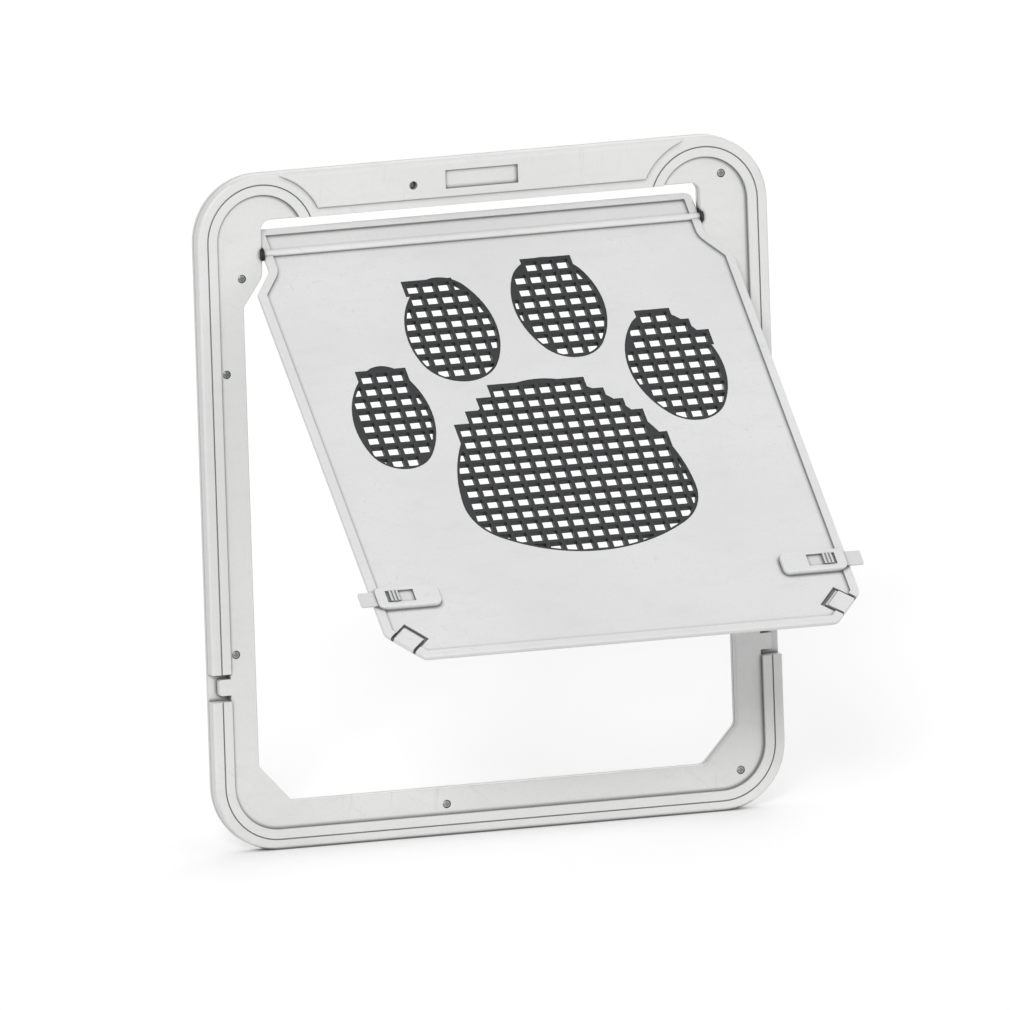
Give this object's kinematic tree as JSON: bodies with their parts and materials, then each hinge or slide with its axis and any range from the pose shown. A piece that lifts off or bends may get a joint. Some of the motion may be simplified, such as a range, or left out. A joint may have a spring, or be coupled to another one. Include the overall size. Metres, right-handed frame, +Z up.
{
  "type": "pet door",
  "caption": "Pet door for an insect screen: a frame clamps the mesh, and a hinged flap with paw-shaped grilles, corner magnets and sliding latches swings in it.",
  "frame": {"origin": "middle of the frame, on the plane of the screen mesh between its two halves", "axes": "+X to the right seen from the room, +Y out through the door away from the room, +Z up"},
  "size_m": [0.37, 0.2805, 0.42],
  "materials": {
    "frame_plastic": "fine satin, moulded",
    "flap_plastic": "fine satin, moulded",
    "latch_plastic": "semi-gloss, moulded",
    "bolt_plastic": "semi-gloss, moulded",
    "cap_plastic": "satin",
    "grille_plastic": "satin",
    "bush_plastic": "waxy satin",
    "rod_steel": "drawn",
    "screw_steel": "zinc plated",
    "magnet": "sintered, dark"
  },
  "bodies": {
    "frame": {"front_frame": "frame_plastic", "rear_frame": "frame_plastic", "frame_screws": "screw_steel", "frame_magnet_left": "magnet", "frame_magnet_right": "magnet", "hinge_bush_left": "bush_plastic", "hinge_bush_right": "bush_plastic"},
    "flap": {"flap_panel": "flap_plastic", "paw_grille_toe_1": "grille_plastic", "paw_grille_toe_2": "grille_plastic", "paw_grille_toe_3": "grille_plastic", "paw_grille_toe_4": "grille_plastic", "paw_grille_heel": "grille_plastic", "hinge_rod": "rod_steel", "flap_magnet_left": "magnet", "flap_magnet_right": "magnet", "magnet_cap_left": "cap_plastic", "magnet_cap_right": "cap_plastic", "latch_cover_left": "latch_plastic", "latch_cover_right": "latch_plastic"},
    "bolt_left": {"latch_bolt_left": "bolt_plastic"},
    "bolt_right": {"latch_bolt_right": "bolt_plastic"}
  },
  "joints": [
    {"name": "flap_hinge", "type": "hinge", "parent": "frame", "child": "flap", "pos_m": [0, -0.0045, 0.1598], "axis": [-1, 0, 0], "range_deg": [-50.8, 99.2]},
    {"name": "bolt_left_slide", "type": "slide", "parent": "flap", "child": "bolt_left", "axis": [-1, 0, 0], "range_m": [-0.0097, 0]},
    {"name": "bolt_right_slide", "type": "slide", "parent": "flap", "child": "bolt_right", "axis": [1, 0, 0], "range_m": [-0.0097, 0]}
  ]
}
